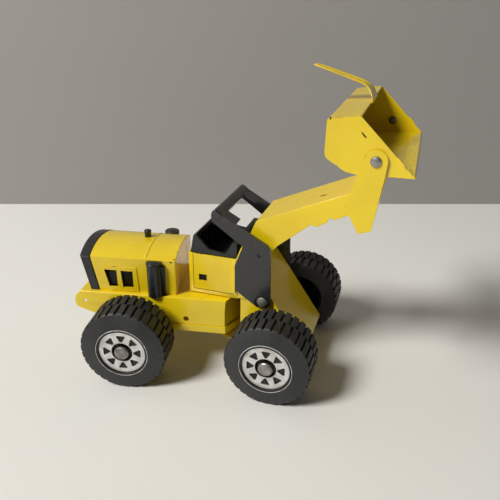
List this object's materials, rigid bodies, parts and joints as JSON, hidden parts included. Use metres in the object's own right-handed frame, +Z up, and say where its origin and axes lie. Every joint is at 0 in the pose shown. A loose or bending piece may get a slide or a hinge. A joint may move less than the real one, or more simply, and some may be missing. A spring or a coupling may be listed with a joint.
{
  "type": "toy front loader",
  "caption": "Articulated toy front loader: hood and cab on two hinged steel chassis, raised folded boom with a tipping bucket and lever, roll bar, and moulded wheels.",
  "frame": {"origin": "on the ground, under the middle of the whole loader as it stands with its boom raised", "axes": "+X forwards along the rear section, +Y to its left, +Z up; the front section stands turned to the right"},
  "size_m": [0.3074, 0.1816, 0.2738],
  "materials": {
    "yellow_enamel": "glossy enamel on pressed steel, chipped at edges",
    "black_enamel": "satin black enamel",
    "black_plastic": "moulded, satin",
    "tyre_plastic": "hard moulded tyre, dull",
    "wheel_plastic": "moulded",
    "bright_disc": "bright, lightly worn",
    "plain_steel": "dull zinc plate"
  },
  "bodies": {
    "rear_section": {"rear_frame": "yellow_enamel", "rear_pan": "yellow_enamel", "engine_hood": "yellow_enamel", "hood_end_panel": "yellow_enamel", "grille": "black_plastic", "air_cleaner_left": "black_plastic", "air_cleaner_right": "black_plastic", "exhaust_stub": "black_plastic", "steering_rivet": "plain_steel", "steering_sleeve": "wheel_plastic", "rear_axle": "plain_steel", "rear_axle_caps": "plain_steel", "rear_axle_sleeves": "wheel_plastic"},
    "front_section": {"front_frame": "yellow_enamel", "cab_shell": "yellow_enamel", "seat_tub": "black_plastic", "boom_rivets": "plain_steel", "front_axle": "plain_steel", "front_axle_caps": "plain_steel", "front_axle_sleeves": "wheel_plastic"},
    "boom": {"roll_bar": "black_enamel", "boom_channel": "yellow_enamel", "boom_pin": "plain_steel", "bucket_bracket": "yellow_enamel", "bucket_rivets": "plain_steel"},
    "bucket": {"bucket_shell": "yellow_enamel", "bucket_side_left": "yellow_enamel", "bucket_side_right": "yellow_enamel", "cutting_edge": "yellow_enamel", "bucket_lever": "yellow_enamel"},
    "wheel_rear_left": {"tyre_rear_left": "tyre_plastic", "wheel_core_rear_left": "wheel_plastic", "wheel_disc_rear_left": "bright_disc"},
    "wheel_rear_right": {"tyre_rear_right": "tyre_plastic", "wheel_core_rear_right": "wheel_plastic", "wheel_disc_rear_right": "bright_disc"},
    "wheel_front_left": {"tyre_front_left": "tyre_plastic", "wheel_core_front_left": "wheel_plastic", "wheel_disc_front_left": "bright_disc"},
    "wheel_front_right": {"tyre_front_right": "tyre_plastic", "wheel_core_front_right": "wheel_plastic", "wheel_disc_front_right": "bright_disc"}
  },
  "joints": [
    {"name": "steering", "type": "hinge", "parent": "rear_section", "child": "front_section", "pos_m": [0.0086, 0.00598, 0.052], "axis": [0, 0, 1], "range_deg": [-14.4, 35.6]},
    {"name": "boom_lift", "type": "hinge", "parent": "front_section", "child": "boom", "pos_m": [0.02787, 0.00239, 0.0745], "axis": [0.1833, 0.9831, 0], "range_deg": [0, 74]},
    {"name": "bucket_tilt", "type": "hinge", "parent": "boom", "child": "bucket", "pos_m": [0.11369, -0.01361, 0.2198], "axis": [0.1833, 0.9831, 0], "range_deg": [-75, 65]},
    {"name": "rear_left_spin", "type": "hinge", "parent": "rear_section", "child": "wheel_rear_left", "pos_m": [-0.0958, 0.00598, 0.038], "axis": [0, 1, 0], "continuous": true},
    {"name": "rear_right_spin", "type": "hinge", "parent": "rear_section", "child": "wheel_rear_right", "pos_m": [-0.0958, 0.00598, 0.038], "axis": [0, 1, 0], "continuous": true},
    {"name": "front_left_spin", "type": "hinge", "parent": "front_section", "child": "wheel_front_left", "pos_m": [0.04438, -0.00069, 0.038], "axis": [0.1833, 0.9831, 0], "continuous": true},
    {"name": "front_right_spin", "type": "hinge", "parent": "front_section", "child": "wheel_front_right", "pos_m": [0.04438, -0.00069, 0.038], "axis": [0.1833, 0.9831, 0], "continuous": true}
  ]
}
